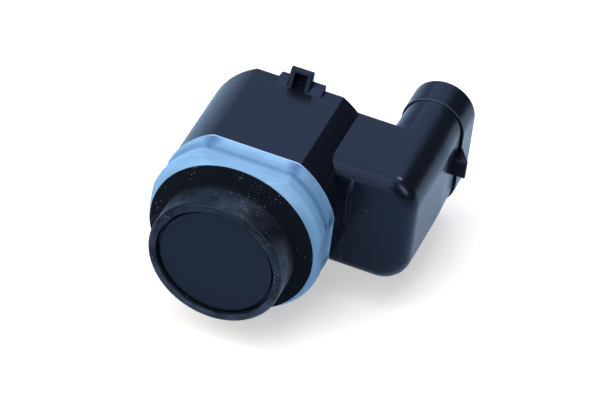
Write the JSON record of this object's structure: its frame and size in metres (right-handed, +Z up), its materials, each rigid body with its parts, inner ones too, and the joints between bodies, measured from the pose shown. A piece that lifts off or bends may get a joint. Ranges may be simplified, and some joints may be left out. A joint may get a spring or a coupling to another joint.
{
  "type": "parking sensor",
  "caption": "Ultrasonic parking sensor with a round sensing head, a blue sealing collar round a flatted housing, and a side elbow that ends in an oblong plug socket.",
  "frame": {"origin": "on the sensor axis at the root of the neck, where the flange meets the bumper skin", "axes": "-Y along the sensor axis, out of the head; +X towards the plug socket; +Z up"},
  "size_m": [0.038, 0.0431, 0.0282],
  "materials": {
    "housing_plastic": "moulded glass-filled polyamide, satin",
    "seal_silicone": "moulded silicone, soft satin",
    "ring_silicone": "moulded silicone, matte",
    "membrane_paint": "primed aluminium, satin",
    "ceramic": "fired ceramic with silver print",
    "foam": "silicone foam, matte",
    "lead_red": "extruded insulation",
    "lead_black": "extruded insulation",
    "board_mask": "glass-epoxy with solder mask, satin",
    "chip_epoxy": "moulded epoxy, matte",
    "ferrite": "sintered ferrite, matte",
    "bobbin_plastic": "moulded polyester, satin",
    "winding_wire": "enamelled copper wire",
    "capacitor_can": "drawn can, satin",
    "capacitor_ceramic": "fired ceramic with tinned ends",
    "resistor_glaze": "glazed ceramic with tinned ends",
    "terminal_tin": "tin plated bronze, satin",
    "solder": "reflowed solder, bright"
  },
  "bodies": {
    "root": {"housing": "housing_plastic", "rear_cover": "housing_plastic", "seal_collar": "seal_silicone", "decoupling_ring": "ring_silicone", "membrane_pot": "membrane_paint", "piezo_disc": "ceramic", "damping_plug": "foam", "piezo_lead_live": "lead_red", "piezo_lead_ground": "lead_black", "circuit_board": "board_mask", "signal_chip": "chip_epoxy", "transformer_core": "ferrite", "transformer_bobbin": "bobbin_plastic", "transformer_winding": "winding_wire", "storage_capacitor": "capacitor_can", "chip_capacitors": "capacitor_ceramic", "chip_resistors": "resistor_glaze", "protection_diode": "chip_epoxy", "terminal_supply": "terminal_tin", "terminal_signal": "terminal_tin", "terminal_ground": "terminal_tin", "solder_joints": "solder"}
  },
  "joints": []
}
